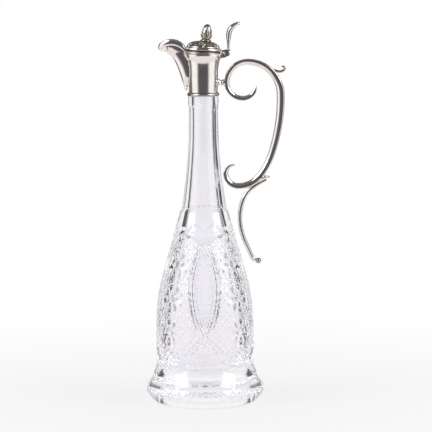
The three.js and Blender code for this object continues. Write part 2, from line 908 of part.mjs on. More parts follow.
function spurStations() {
  const crown = lastStation(mainPath, crownStretch - 1);
  const angle = THREE.MathUtils.degToRad(90 - spurAngle);
  const outward = vector(Math.cos(angle), Math.sin(angle));
  const centre = crown.point.clone().sub(vector(0, crownRadius));
  const start = centre.addScaledVector(outward, crownRadius + crown.thickness * 0.25);
  return scroll(start, -12, spurRootThickness, [
    { length: spurLength, thickness: spurThickness },
    { radius: spurBendRadius, turn: -60, thickness: spurThickness },
    { radius: spurHookRadius, turn: -165, thickness: tipThickness },
  ], 2);
}

function lowerStations() {
  const start = crossing.point.clone().add(tailStart);
  return scroll(start, -158, tailThickness / 2, [
    { radius: tailTopRadius, turn: -13, thickness: tailThickness },
    { radius: tailBackRadius, turn: -29, thickness: tailThickness },
    { radius: tailWaistRadius, turn: -28, thickness: tailThickness * 0.9 },
    { radius: tailFootRadius, turn: -22, thickness: tailThickness },
    { length: tailStraight, thickness: tailThickness * 0.95 },
    { radius: tailHookRadius, turn: -55, thickness: tailThickness * 0.85 },
  ]);
}

function leafStations() {
  const start = crossing.point.clone().add(vector(tailStart.x - leafWidth, tailStart.y + 2));
  return scroll(start, 10, 3.6, [
    { length: leafLength, thickness: 3.4 },
    { radius: leafCurlRadius, turn: 16, thickness: tipThickness },
  ], 2);
}

const lowerPath = lowerStations();

function endBall(grow = 0) {
  const end = lowerPath.at(-1);
  const angle = THREE.MathUtils.degToRad(end.heading);
  const reach = endBallRadius * 0.8;
  const ball = new THREE.SphereGeometry(endBallRadius + grow, 16, 10);
  return ball.translate(end.point.x + Math.cos(angle) * reach, 0, end.point.y + Math.sin(angle) * reach);
}

function plasterBed() {
  const low = mountBase + seam;
  const high = plugTop - 1;
  const inner = plugRadius + seam;
  const outer = inner + plasterThickness;
  return turnedRing([[inner, low], [outer, low], [outer, high], [inner, high]]);
}

function dropBall() {
  const ball = new THREE.SphereGeometry(dropBallRadius, 12, 8);
  const x = -collarFootRadius - seam - dropBallRadius - 0.5;
  return ball.translate(x, 0, mountBase + spoutDropHeight - seam - dropBallRadius);
}

piece('glass_body', glassBody(), glass);
piece('plaster_bed', plasterBed(), plaster);
piece('neck_collar', neckCollar(), silver);
piece('collar_base_ring', baseRing(), silver);
piece('collar_rim_moulding', rimMoulding(), silver);
piece('pouring_spout', pouringSpout(), silver);
piece('spout_lip', spoutLip(), silver);
piece('spout_drop', dropBall(), silver);

piece('hinge_leaf', hingeLeaf(), silver, hingeSeat);
const knuckleStart = lidKnuckleLength / 2 + seam;
piece('hinge_knuckle_near', knuckle(knuckleStart, barrelHalf), silver, hingeSeat);
piece('hinge_knuckle_far', knuckle(-barrelHalf, -knuckleStart), silver, hingeSeat);
piece('hinge_pin', hingePin(), silverDark, hingeSeat);

piece('hinge_knuckle_lid', knuckle(-lidKnuckleLength / 2, lidKnuckleLength / 2), silver, lid);
piece('lid_dome', lidDome(), silver, lid);
piece('lid_bezel', lidBezel(), silver, lid);
piece('lid_strap', lidStrap(), silver, lid);
piece('thumb_lever', thumbLever(), silver, lid);

piece('finial_calyx', calyx(), silver, finial);
piece('finial_bud', bud(), silver, finial);
piece('finial_stud', stud(), silverDark, finial);
piece('finial_nut', finialNut(), silverDark, finial);

piece('handle_main_scroll', rod(mainPath), silver);
piece('handle_socket', handleSocket(), silver);
piece('handle_spur', cut(rod(spurStations(), { sides: 8 }), rod(mainPath, { grow: seam })), silver);
const lowerScroll = rod(lowerPath, { sides: 10 });
const mainRoom = rod(mainPath, { grow: seam });
piece('handle_lower_scroll', cut(lowerScroll, mainRoom, endBall(seam)), silver);
const leafWidths = [[0, leafWidth * 0.93], [0.45, leafWidth], [1, tipThickness]];
const leafBlank = rod(leafStations(), { sides: 10, widthAt: (share) => blend(leafWidths, share) });
piece('handle_leaf', cut(leafBlank, mainRoom, rod(lowerPath, { grow: seam })), silver);
piece('handle_end_ball', endBall(), silver);

jug.updateMatrixWorld(true);

export default jug;
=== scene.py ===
import bisect
import math

import bmesh
import bpy
from mathutils import Matrix, Vector


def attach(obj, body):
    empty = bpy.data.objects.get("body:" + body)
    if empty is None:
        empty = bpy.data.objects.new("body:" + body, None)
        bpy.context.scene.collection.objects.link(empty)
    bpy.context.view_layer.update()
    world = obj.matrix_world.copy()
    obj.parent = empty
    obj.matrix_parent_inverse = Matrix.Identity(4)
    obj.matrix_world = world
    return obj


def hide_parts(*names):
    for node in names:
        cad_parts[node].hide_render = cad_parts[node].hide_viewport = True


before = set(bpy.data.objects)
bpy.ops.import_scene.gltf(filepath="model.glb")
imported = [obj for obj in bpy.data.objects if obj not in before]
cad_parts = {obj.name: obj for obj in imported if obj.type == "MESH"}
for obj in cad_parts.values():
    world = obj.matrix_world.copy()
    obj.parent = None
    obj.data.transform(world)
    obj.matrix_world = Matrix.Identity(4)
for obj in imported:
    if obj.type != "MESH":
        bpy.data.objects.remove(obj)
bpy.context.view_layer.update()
mm = 0.001

# How near two places have to be to count as one, in millimetres.
weldGap = 1e-4
packedWeldGap = 2e-3
slack = 0.01

# Where the mount's pieces stand, in millimetres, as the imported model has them.
mountBase = 307.6
collarRadius = 15.1
seatHeight = 351.6
lidCant = math.radians(3.5)
finialOffset = 1.7
finialLean = math.radians(3.2)

lidSeat = Matrix.Translation((0, 0, seatHeight)) @ Matrix.Rotation(lidCant, 4, "Y")
finialSeat = lidSeat @ Matrix.Translation((finialOffset, 0, 0)) @ Matrix.Rotation(finialLean, 4, "Y")


def toLinear(hexColour):
    parts = [int(hexColour[i:i + 2], 16) / 255 for i in (0, 2, 4)]
    return tuple(c / 12.92 if c <= 0.04045 else ((c + 0.055) / 1.055) ** 2.4 for c in parts) + (1.0,)


def addNode(tree, kind, inputs=None, **settings):
    node = tree.nodes.new(kind)
    for name, value in settings.items():
        setattr(node, name, value)
    for key, value in (inputs or {}).items():
        if isinstance(value, bpy.types.NodeSocket):
            tree.links.new(value, node.inputs[key])
        else:
            node.inputs[key].default_value = value
    return node


def emptyMaterial(name):
    material = bpy.data.materials.new(name)
    material.use_nodes = True
    material.node_tree.nodes.clear()
    return material


def addObject(name, data):
    added = bpy.data.objects.new(name, data)
    bpy.context.scene.collection.objects.link(added)
    return added


def lerp(a, b, share):
    return a + (b - a) * share


def clamp(value):
    return min(1.0, max(0.0, value))


def wedge(distance, halfWidth):
    return max(0.0, 1 - abs(distance) / halfWidth)


def triangleWave(value, pitch):
    return abs((value / pitch) % 1 - 0.5) * 2


def bezier(points, steps, skipFirst=False):
    found = []
    for i in range(1 if skipFirst else 0, steps + 1):
        level = [Vector(p) for p in points]
        while len(level) > 1:
            level = [a.lerp(b, i / steps) for a, b in zip(level, level[1:])]
        found.append(tuple(level[0]))
    return found


def straightRun(ends, steps):
    # like bezier, but without its first point
    (startRadius, startHeight), (endRadius, endHeight) = ends
    shares = [i / steps for i in range(1, steps + 1)]
    return [(lerp(startRadius, endRadius, s), lerp(startHeight, endHeight, s)) for s in shares]


# The camera, at the photograph's viewing angle.
cameraRig = {
    "distance": 2.7, "height": 0.476, "aimSide": 0.0119, "pitch": 6.109, "roll": -0.376,
    "lens": 226.25, "sensor": 36.0, "clipEnd": 60,
}


def setCamera():
    data = bpy.data.cameras.new("jugCamera")
    data.lens = cameraRig["lens"]
    data.sensor_width = cameraRig["sensor"]
    data.clip_end = cameraRig["clipEnd"]
    camera = addObject("jugCamera", data)
    yaw = math.atan2(-cameraRig["aimSide"], cameraRig["distance"])
    turn = Matrix.Rotation(yaw, 4, "Z") @ Matrix.Rotation(math.radians(90 - cameraRig["pitch"]), 4, "X")
    turn = turn @ Matrix.Rotation(math.radians(cameraRig["roll"]), 4, "Z")
    camera.matrix_world = Matrix.Translation((0, -cameraRig["distance"], cameraRig["height"])) @ turn
    bpy.context.scene.camera = camera


setCamera()
print("camera set")

# Widths and depths are in millimetres. Real buffing marks are finer, and are drawn coarser so that they show.
silverLook = {
    "tarnish": "B9B0A4", "patchWidth": 11.11, "patchEdge": (0.48, 0.8),
    "grimeAndShade": "3A342F", "creviceSamples": 8, "creviceEdge": (0.45, 0.9),
    "wear": 0.07, "swirlWidth": 0.7143, "swirlEdge": (0.3, 0.7), "swirlStrength": 0.03, "swirlDepth": 0.1,
}
crystalLook = {"tint": "F9F8FB", "index": 1.54}
plasterLook = {
    "chalk": "EDE8DC", "pore": "D8D1C2", "roughness": 0.9,
    "poreWidth": 1.11, "poreStrength": 0.4, "poreDepth": 0.3,
}


def silverMaterial(name, colour="F8F5F1", tarnish=0.25, roughness=0.1, grimeAndShade=0.3, creviceReach=1.2):
    # sterling silver, buffed bright: fine swirl marks widen the highlights, thin warm tarnish stays on
    # the surface, and the crevices are darkened by ambient occlusion: dark polish residue and painted shade
    material = emptyMaterial(name)
    tree = material.node_tree
    place = addNode(tree, "ShaderNodeTexCoord").outputs["Object"]
    patches = addNode(tree, "ShaderNodeTexNoise", {
        "Vector": place, "Scale": 1 / (silverLook["patchWidth"] * mm), "Detail": 4.0,
    })
    swirl = addNode(tree, "ShaderNodeTexNoise", {
        "Vector": place, "Scale": 1 / (silverLook["swirlWidth"] * mm), "Detail": 3.0,
    })
    low, high = silverLook["patchEdge"]
    patchMask = addNode(tree, "ShaderNodeMapRange", {
        0: patches.outputs[0], 1: low, 2: high, 3: 0.0, 4: tarnish,
    })
    shade = addNode(tree, "ShaderNodeMix", {
        0: patchMask.outputs[0], 6: toLinear(colour), 7: toLinear(silverLook["tarnish"]),
    }, data_type="RGBA")
    # painted shade: where ambient occlusion finds a crevice or recess in the piece, the colour is darkened
    crevice = addNode(tree, "ShaderNodeAmbientOcclusion", {"Distance": creviceReach * mm},
                      samples=silverLook["creviceSamples"], only_local=True)
    low, high = silverLook["creviceEdge"]
    grimeAndShadeMask = addNode(tree, "ShaderNodeMapRange", {
        0: crevice.outputs["AO"], 1: low, 2: high, 3: grimeAndShade, 4: 0.0,
    })
    shade = addNode(tree, "ShaderNodeMix", {
        0: grimeAndShadeMask.outputs[0], 6: shade.outputs[2], 7: toLinear(silverLook["grimeAndShade"]),
    }, data_type="RGBA")
    low, high = silverLook["swirlEdge"]
    rough = addNode(tree, "ShaderNodeMapRange", {
        0: swirl.outputs[0], 1: low, 2: high, 3: roughness, 4: roughness + silverLook["wear"],
    })
    bump = addNode(tree, "ShaderNodeBump", {
        "Height": swirl.outputs[0], "Strength": silverLook["swirlStrength"],
        "Distance": silverLook["swirlDepth"] * mm,
    })
    shader = addNode(tree, "ShaderNodeBsdfPrincipled", {
        "Base Color": shade.outputs[2], "Metallic": 1.0, "Roughness": rough.outputs[0],
        "Normal": bump.outputs[0],
    })
    addNode(tree, "ShaderNodeOutputMaterial", {"Surface": shader.outputs[0]})
    return material


def crystalMaterial():
    # lead crystal, wheel cut and acid polished: clear, high index, with a faint lavender body tint
    material = emptyMaterial("leadCrystal")
    tree = material.node_tree
    shader = addNode(tree, "ShaderNodeBsdfPrincipled", {
        "Base Color": toLinear(crystalLook["tint"]), "Roughness": 0.0, "IOR": crystalLook["index"],
        "Transmission Weight": 1.0,
    })
    addNode(tree, "ShaderNodeOutputMaterial", {"Surface": shader.outputs[0]})
    return material


def plasterMaterial():
    # plaster of Paris, cast in place: chalky, with fine pores
    material = emptyMaterial("settingPlaster")
    tree = material.node_tree
    place = addNode(tree, "ShaderNodeTexCoord").outputs["Object"]
    pores = addNode(tree, "ShaderNodeTexNoise", {
        "Vector": place, "Scale": 1 / (plasterLook["poreWidth"] * mm), "Detail": 5.0,
    })
    bump = addNode(tree, "ShaderNodeBump", {
        "Height": pores.outputs[0], "Strength": plasterLook["poreStrength"],
        "Distance": plasterLook["poreDepth"] * mm,
    })
    shade = addNode(tree, "ShaderNodeMix", {
        0: pores.outputs[0], 6: toLinear(plasterLook["chalk"]), 7: toLinear(plasterLook["pore"]),
    }, data_type="RGBA")
    shader = addNode(tree, "ShaderNodeBsdfPrincipled", {
        "Base Color": shade.outputs[2], "Roughness": plasterLook["roughness"], "Normal": bump.outputs[0],
    })
    addNode(tree, "ShaderNodeOutputMaterial", {"Surface": shader.outputs[0]})
    return material


brightSilver = silverMaterial("sterlingSilver")
# these take the crevice darkening at full strength: painted shade with dark polish residue
chasedSilver = silverMaterial("chasedSilver", colour="C8C3BC", roughness=0.2, grimeAndShade=1.0, creviceReach=1.6)
castSilver = silverMaterial("castSilver", colour="C0BAB2", roughness=0.2, grimeAndShade=1.0, creviceReach=3.0)
# dark silver: on the lid's flange it is painted shade in the gap under the lid's rim; the hinge's knuckles
# are simply darker
darkSilver = silverMaterial("darkSilver", colour="5E5751", tarnish=0.1, roughness=0.25, grimeAndShade=1.0)
dullSilver = silverMaterial("pinSilver", colour="7A736B", tarnish=0.3, roughness=0.3, grimeAndShade=0.8)
crystal = crystalMaterial()
plaster = plasterMaterial()


def finishPiece(bm, name, node, body, material, smoothAngle=35):
    mesh = bpy.data.meshes.new(name)
    bm.to_mesh(mesh)
    bm.free()
    mesh.materials.append(material)
    for face in mesh.polygons:
        face.use_smooth = True
        face.material_index = 0
    mesh.set_sharp_from_angle(angle=math.radians(smoothAngle))
    piece = addObject(name, mesh)
    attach(piece, body)
    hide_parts(node)


def finishInPlace(bm, place, name, node, body, material, smoothAngle=35):
    bmesh.ops.transform(bm, matrix=Matrix.Scale(mm, 4) @ place, verts=bm.verts)
    bmesh.ops.recalc_face_normals(bm, faces=bm.faces)
    finishPiece(bm, name, node, body, material, smoothAngle)


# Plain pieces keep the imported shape, merged so that their polish runs smoothly over the facets.
def polished(node, body, material, name):
    bm = bmesh.new()
    bm.from_mesh(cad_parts[node].data)
    bmesh.ops.remove_doubles(bm, verts=bm.verts, dist=packedWeldGap * mm)
    bmesh.ops.dissolve_degenerate(bm, dist=packedWeldGap / 2 * mm, edges=bm.edges)
    finishPiece(bm, name, node, body, material, smoothAngle=32)


for node, body, material, name in (
        ("neck_collar", "root", brightSilver, "neckCollar"),
        ("collar_base_ring", "root", castSilver, "collarBaseRing"),
        ("pouring_spout", "root", brightSilver, "pouringSpout"),
        ("spout_lip", "root", brightSilver, "spoutLip"),
        ("spout_drop", "root", brightSilver, "spoutDrop"),
        ("hinge_leaf", "root", brightSilver, "hingeLeaf"),
        ("hinge_knuckle_near", "root", darkSilver, "hingeKnuckleNear"),
        ("hinge_knuckle_far", "root", darkSilver, "hingeKnuckleFar"),
        ("hinge_pin", "root", dullSilver, "hingePin"),
        ("hinge_knuckle_lid", "lid", darkSilver, "hingeKnuckleLid"),
        ("lid_bezel", "lid", brightSilver, "lidBezel"),
        ("lid_strap", "lid", brightSilver, "lidStrap"),
        ("thumb_lever", "lid", brightSilver, "thumbLever"),
        ("finial_stud", "lid", dullSilver, "finialStud"),
        ("finial_nut", "lid", dullSilver, "finialNut"),
        ("handle_socket", "root", brightSilver, "handleSocket"),
        ("handle_spur", "root", castSilver, "handleSpur"),
        ("handle_leaf", "root", castSilver, "handleLeaf"),
        ("handle_end_ball", "root", castSilver, "handleEndBall"),
        ("plaster_bed", "root", plaster, "plasterBed"),
):
    polished(node, body, material, name)
print("plain pieces polished")


def turnedPiece(path, steps):
    # an outline of (radius, height) points in millimetres, spun about Z, and closed if it starts off the axis
    bm = bmesh.new()
    verts = [bm.verts.new((r, 0, z)) for r, z in path]
    edges = [bm.edges.new(pair) for pair in zip(verts, verts[1:])]
    if path[0][0] > 0:
        edges.append(bm.edges.new((verts[-1], verts[0])))
    bmesh.ops.spin(bm, geom=verts + edges, cent=(0, 0, 0), axis=(0, 0, 1), angle=math.tau, steps=steps,
                   use_merge=True)
    bmesh.ops.remove_doubles(bm, verts=bm.verts, dist=weldGap)
    return bm


# The lid's cover is chased with leaves that hang from the finial, and a scroll between each two. Heights are
# above the seat.
cover = {
    "steps": 288, "rows": 44, "radius": 16.7, "base": 4.0, "height": 5.9, "fullness": 2.0,
    "innerRows": 12, "innerRadius": 15.4, "innerBase": 3.9, "innerHeight": 5.4,
    "skirtRadius": 17.45, "skirtLow": 1.35, "skirtHigh": 3.8, "skirtShoulder": (17.0, 3.95),
    "leaves": 6, "leafStart": 1.5, "leafEnd": 15.4, "leafHalfWidth": 4.2, "leafDroop": 1.25, "leafLift": 0.1,
    "edgeRise": 0.55, "edgeHalfWidth": 0.8, "midribRise": 0.5, "midribHalfWidth": 0.8,
    "veinRise": 0.16, "veinPitch": 1.7, "fadeHeight": 1.0,
    "scrollRadius": 11.6, "scrollReach": 3.6, "scrollPitch": 1.8, "scrollRise": 0.5,
}
coverEdge = {
    "steps": 96,
    "rim": [(17.5, 1.35), (18.3, 1.35), (18.65, 1.6), (18.75, 2.1), (18.75, 2.7), (18.55, 3.3), (18.1, 3.75),
            (17.5, 3.9)],
    "flange": [(15.5, 0.3), (17.6, 0.3), (17.6, 1.3), (15.5, 1.3)],
}


def coverOutline(radius, base, height, rows):
    power = 2 / cover["fullness"]
    turns = [i / rows * math.pi / 2 for i in range(rows)]
    sides = [(radius * math.cos(t) ** power, base + height * math.sin(t) ** power) for t in turns]
    return sides + [(0, base + height)]


def coverRelief(turn, radius):
    spacing = 360 / cover["leaves"]
    arc = math.radians(1) * radius
    across = abs((turn + spacing / 2) % spacing - spacing / 2) * arc
    share = clamp((radius - cover["leafStart"]) / (cover["leafEnd"] - cover["leafStart"]))
    halfWidth = cover["leafHalfWidth"] * math.sin(math.pi * share ** cover["leafDroop"])
    rise = cover["edgeRise"] * wedge(across - halfWidth, cover["edgeHalfWidth"])
    if across < halfWidth:
        rise = max(rise, cover["midribRise"] * wedge(across, cover["midribHalfWidth"]))
        vein = cover["veinRise"] * triangleWave(radius - across, cover["veinPitch"])
        return rise + vein + cover["leafLift"]
    aside = ((turn + spacing) % spacing - spacing / 2) * arc
    reach = math.hypot(aside, radius - cover["scrollRadius"])
    if reach < cover["scrollReach"]:
        wound = math.atan2(aside, radius - cover["scrollRadius"]) / math.tau
        coil = triangleWave(reach / cover["scrollPitch"] + wound, 1)
        rise = max(rise, cover["scrollRise"] * coil)
    return rise


def chasedDome():
    outside = coverOutline(cover["radius"], cover["base"], cover["height"], cover["rows"])
    inside = coverOutline(cover["innerRadius"], cover["innerBase"], cover["innerHeight"], cover["innerRows"])
    skirt = [(cover["innerRadius"], cover["skirtLow"]), (cover["skirtRadius"], cover["skirtLow"]),
             (cover["skirtRadius"], cover["skirtHigh"]), cover["skirtShoulder"]]
    bm = turnedPiece(inside[::-1] + skirt + outside, cover["steps"])
    for vert in bm.verts:
        radius = math.hypot(vert.co.x, vert.co.y)
        height = vert.co.z - cover["base"]
        if height < -slack or radius < cover["leafStart"] or radius > cover["radius"] + slack:
            continue
        level = (radius / cover["radius"]) ** cover["fullness"]
        level += (max(0.0, height) / cover["height"]) ** cover["fullness"]
        if abs(level - 1) > slack:
            continue
        turn = math.degrees(math.atan2(vert.co.x, -vert.co.y))
        rise = coverRelief(turn, radius) * min(1.0, height / cover["fadeHeight"])
        outward = Vector((vert.co.x / cover["radius"] ** 2, vert.co.y / cover["radius"] ** 2,
                          height / cover["height"] ** 2)).normalized()
        vert.co += outward * rise
    return bm


def lidCover():
    rim = turnedPiece(coverEdge["rim"], coverEdge["steps"])
    flange = turnedPiece(coverEdge["flange"], coverEdge["steps"])
    finishInPlace(chasedDome(), lidSeat, "lidDome", "lid_dome", "lid", chasedSilver, smoothAngle=40)
    finishInPlace(rim, lidSeat, "lidRim", "lid_dome", "lid", brightSilver, smoothAngle=50)
    # painted shade: the flange in the gap between the lid's rim and the collar is dark silver
    finishInPlace(flange, lidSeat, "lidFlange", "lid_dome", "lid", darkSilver)


# Three fine reeds round the collar's mouth.
rimReeds = {
    "steps": 144, "inner": 17.2, "face": 19.3, "low": 349.6,
    "count": 3, "rows": 6, "pitch": 1.15, "depth": 0.3,
}


def collarRim():
    # open towards the spout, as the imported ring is, and cut level with the lid's seat
    path = [(rimReeds["inner"], rimReeds["low"])]
    for reed in range(rimReeds["count"]):
        for i in range(rimReeds["rows"] + 1):
            turn = math.pi * i / rimReeds["rows"]
            path.append((rimReeds["face"] + rimReeds["depth"] * math.sin(turn),
                         rimReeds["low"] + rimReeds["pitch"] * (reed + 0.5 - 0.5 * math.cos(turn))))
    path.append((rimReeds["inner"], path[-1][1]))
    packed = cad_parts["collar_rim_moulding"].data.vertices
    gap = min(abs(math.atan2(vert.co.y, -vert.co.x)) for vert in packed)
    bm = bmesh.new()
    turned = Matrix.Rotation(math.pi + gap, 4, "Z")
    verts = [bm.verts.new(turned @ Vector((r, 0, z))) for r, z in path]
    edges = [bm.edges.new(pair) for pair in zip(verts, verts[1:] + verts[:1])]
    bmesh.ops.spin(bm, geom=verts + edges, cent=(0, 0, 0), axis=(0, 0, 1), angle=math.tau - 2 * gap,
                   steps=rimReeds["steps"])
    bmesh.ops.remove_doubles(bm, verts=bm.verts, dist=weldGap)
    bmesh.ops.holes_fill(bm, edges=bm.edges, sides=0)
    bmesh.ops.bisect_plane(bm, geom=bm.verts[:] + bm.edges[:] + bm.faces[:], dist=weldGap / 10,
                           clear_outer=True, plane_co=lidSeat.translation,
                           plane_no=lidSeat.to_3x3() @ Vector((0, 0, 1)))
    bmesh.ops.holes_fill(bm, edges=bm.edges, sides=0)
    finishInPlace(bm, Matrix.Identity(4), "collarRimMoulding", "collar_rim_moulding", "root", castSilver,
                  smoothAngle=50)


collarRim()
lidCover()

# The finial: a closed bud in two tiers of petals, on a calyx of leaves that curl down over the cover.
bud = {
    "steps": 120, "rows": 44, "low": 12.0, "height": 15.3, "coreRadius": 1.0,
    "outline": [(1.5, 0), (6.7, 0.2), (5.9, 6.6), (5.5, 13.9), (1.6, 15.5), (0, 15.3)],
    "petals": 6, "crease": 1.5, "creaseFoot": 0.1, "creaseTip": 0.12,
    "sepalRise": 0.55, "sepalFoot": 0.02, "sepalTop": 0.36, "sepalArch": 0.06,
}
calyx = {
    "ringSteps": 48, "ring": [(1.05, 11.0), (3.0, 11.3), (2.4, 11.9), (1.7, 12.1), (1.05, 12.1)],
    "leaves": 6, "rows": 10, "columns": 6, "halfWidth": 2.0, "thickness": 0.45, "fold": 0.5,
    "spine": [(1.6, 11.9), (3.0, 13.4), (5.2, 13.0), (5.6, 10.6), (6.4, 9.9)],
    "swellStart": 0.12, "swellSpan": 0.86,
}


def finialBud():
    outline = bezier(bud["outline"], bud["rows"])
    sides = [(r, bud["low"] + z) for r, z in outline[:-1]]
    bm = turnedPiece([(0, bud["low"])] + sides + [(0, bud["low"] + bud["height"])], bud["steps"])
    for vert in bm.verts:
        radius = math.hypot(vert.co.x, vert.co.y)
        if radius < bud["coreRadius"]:
            continue
        turn = math.atan2(vert.co.x, -vert.co.y)
        share = (vert.co.z - bud["low"]) / bud["height"]
        belly = abs(math.sin(bud["petals"] / 2 * turn))
        fade = min(1.0, share / bud["creaseFoot"], (1 - share) / bud["creaseTip"])
        change = -bud["crease"] * (1 - belly) ** 3 * fade
        if bud["sepalFoot"] < share < bud["sepalTop"] + bud["sepalArch"] * belly:
            change += bud["sepalRise"]
        vert.co.x *= (radius + change) / radius
        vert.co.y *= (radius + change) / radius
    finishInPlace(bm, finialSeat, "finialBud", "finial_bud", "lid", castSilver, smoothAngle=40)


def finialCalyx():
    bm = turnedPiece(calyx["ring"], calyx["ringSteps"])
    spine = bezier(calyx["spine"], calyx["rows"])
    for leaf in range(calyx["leaves"]):
        turned = Matrix.Rotation(math.tau * leaf / calyx["leaves"], 4, "Z")
        grid = []
        for i, (reach, height) in enumerate(spine):
            swell = math.sin(math.pi * (calyx["swellStart"] + calyx["swellSpan"] * i / calyx["rows"]))
            halfWidth = calyx["halfWidth"] * swell
            row = []
            for j in range(calyx["columns"] + 1):
                x = lerp(-halfWidth, halfWidth, j / calyx["columns"])
                drop = calyx["fold"] * abs(x) / calyx["halfWidth"]
                row.append(bm.verts.new(turned @ Vector((x, -reach, height - drop))))
            grid.append(row)
        faces = [bm.faces.new((a[j], a[j + 1], b[j + 1], b[j])) for a, b in zip(grid, grid[1:])
                 for j in range(calyx["columns"])]
        bmesh.ops.recalc_face_normals(bm, faces=faces)
        bmesh.ops.solidify(bm, geom=faces, thickness=calyx["thickness"])
    finishInPlace(bm, finialSeat, "finialCalyx", "finial_calyx", "lid", castSilver, smoothAngle=50)


finialBud()
finialCalyx()
print("lid chased")

# The handle's scrolls are runs of arcs and straights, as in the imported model. A positive turn is clockwise.
# A crest of 0 puts a section's widest point in its middle, and a bluntness of 2 leaves it round.
scrolls = {
    "sides": 28, "stepLength": 1.6, "stepTurn": 5, "homeReach": 8.4, "homeHeight": 13.0, "homeStretch": 2,
    "mainHeading": -90, "mainTip": 1.6, "mainCrest": 0.55, "mainBluntness": 2.6,
    "main": [{"radius": 12.7, "turn": 28, "thickness": 4.42}, {"radius": 12.7, "turn": 62, "thickness": 5.2},
             {"radius": 16, "turn": 90, "thickness": 5.2}, {"radius": 20.5, "turn": 90, "thickness": 6.2},
             {"radius": 33.1, "turn": 90, "thickness": 8}, {"length": 2, "thickness": 8},
             {"radius": 177, "turn": 19, "thickness": 7}, {"radius": 72, "turn": 19, "thickness": 6.6},
             {"radius": 27.5, "turn": 52, "thickness": 6.27}, {"radius": 12.6, "turn": 90, "thickness": 5.2},
             {"radius": 8.4, "turn": 95, "thickness": 1.6}],
    "crossingStretch": 7, "tailOffset": (6.5, -4.4),
    "tailHeading": -158, "tailTip": 2.4, "tailCrest": 0.2, "tailBluntness": 2,
    "tail": [{"radius": 71.5, "turn": -13, "thickness": 4.8}, {"radius": 24.4, "turn": -29, "thickness": 4.8},
             {"radius": 47, "turn": -28, "thickness": 4.32}, {"radius": 65.3, "turn": -22, "thickness": 4.8},
             {"length": 15.1, "thickness": 4.56}, {"radius": 6, "turn": -55, "thickness": 4.08}],
}


def walkScroll(start, heading, thickness, stretches):
    stations = [(Vector(start), heading, thickness)]
    ends = []
    for stretch in stretches:
        point, heading, thickness = stations[-1]
        turn = stretch.get("turn", 0)
        length = stretch.get("length", math.radians(abs(turn)) * stretch.get("radius", 0))
        steps = max(2, math.ceil(max(length / scrolls["stepLength"], abs(turn) / scrolls["stepTurn"])))
        for i in range(1, steps + 1):
            middle = math.radians(heading - turn * i / steps / 2)
            half = math.radians(turn * i / steps / 2)
            chord = length * i / steps * (math.sin(half) / half if turn else 1)
            stations.append((point + Vector((math.cos(middle), math.sin(middle))) * chord,
                             heading - turn * i / steps, lerp(thickness, stretch["thickness"], i / steps)))
        ends.append(stations[-1][0])
    return stations, ends


def sweepRod(stations, crest, bluntness, name, node):
    # the section's widest point lies towards the scroll's outer side, which is left blunt
    bm = bmesh.new()
    rings = []
    for point, heading, thickness in stations:
        outer = Vector((-math.sin(math.radians(heading)), math.cos(math.radians(heading))))
        ring = []
        for i in range(scrolls["sides"]):
            turn = math.tau * i / scrolls["sides"]
            along, across = math.cos(turn), math.sin(turn)
            if along > 0:
                along = along ** (2 / bluntness)
                across = math.copysign(abs(across) ** (2 / bluntness), across)
            out = crest + along * (1 - crest if along > 0 else 1 + crest)
            place = point + outer * out * thickness / 2
            ring.append(bm.verts.new((place.x, across * thickness / 2, place.y)))
        rings.append(ring)
    for a, b in zip(rings, rings[1:]):
        for i in range(len(a)):
            j = (i + 1) % len(a)
            bm.faces.new((a[i], a[j], b[j], b[i]))
    bm.faces.new(rings[0])
    bm.faces.new(rings[-1])
    finishInPlace(bm, Matrix.Identity(4), name, node, "root", brightSilver, smoothAngle=50)


def handleScrolls():
    loose, ends = walkScroll((0, 0), scrolls["mainHeading"], scrolls["mainTip"], scrolls["main"])
    home = Vector((collarRadius + scrolls["homeReach"], mountBase + scrolls["homeHeight"]))
    shift = home - ends[scrolls["homeStretch"]]
    main = [(point + shift, heading, thickness) for point, heading, thickness in loose]
    tailStart = ends[scrolls["crossingStretch"]] + shift + Vector(scrolls["tailOffset"])
    tail, _ = walkScroll(tailStart, scrolls["tailHeading"], scrolls["tailTip"], scrolls["tail"])
    sweepRod(main, scrolls["mainCrest"], scrolls["mainBluntness"], "handleMainScroll", "handle_main_scroll")
    sweepRod(tail, scrolls["tailCrest"], scrolls["tailBluntness"], "handleLowerScroll", "handle_lower_scroll")


handleScrolls()
print("handle drawn")

# The bottle's profile in (radius, height) points, with the number of steps beside each curve or straight:
# the outside from the ground base to the lip, then the inside from the cavity's floor up the bore.
profile = {
    "groundRadius": 25,
    "footEdge": ([(49, 0), (55.5, 4.333), (59, 13)], 9),
    "footRoll": [(59, 14.2), (58.9, 15.6), (58.6, 17.2), (58.2, 18.6)],
    "footHollow": ([(57.6, 19.5), (52.2, 26), (48.4, 40)], 10),
    "lowBody": ([(48.4, 40), (49.1, 70)], 27),
    "belly": ([(49.1, 70), (49.1, 103.93), (42.5, 127.5)], 52),
    "taper": ([(42.5, 127.5), (29, 175.7)], 44),
    "shoulder": ([(29, 175.7), (24.3, 192.5)], 6),
    "shoulderStep": [(23.2, 194.4)],
    "neck": ([(21.7, 196), (16.2, 238), (14.3, 249.5), (14.3, 296)], 80),
    "mountSeat": [(15.2, 299.5), (15.2, 307.3), (12.2, 307.3), (12.2, 326.3)],
    "floor": [(0, 30), (15, 30)],
    "floorCorner": ([(29.6, 30), (38.6, 30), (38.6, 44)], 5),
    "cavityWall": [(38.6, 62)],
    "cavityTaper": ([(38.6, 80), (38.6, 114), (17, 169), (14.4, 203)], 12),
    "boreTaper": ([(14.4, 203), (9.6, 253), (9.6, 275)], 8),
    "bore": [(9.6, 300), (9.4, 321.3), (9.6, 326.3)],
}

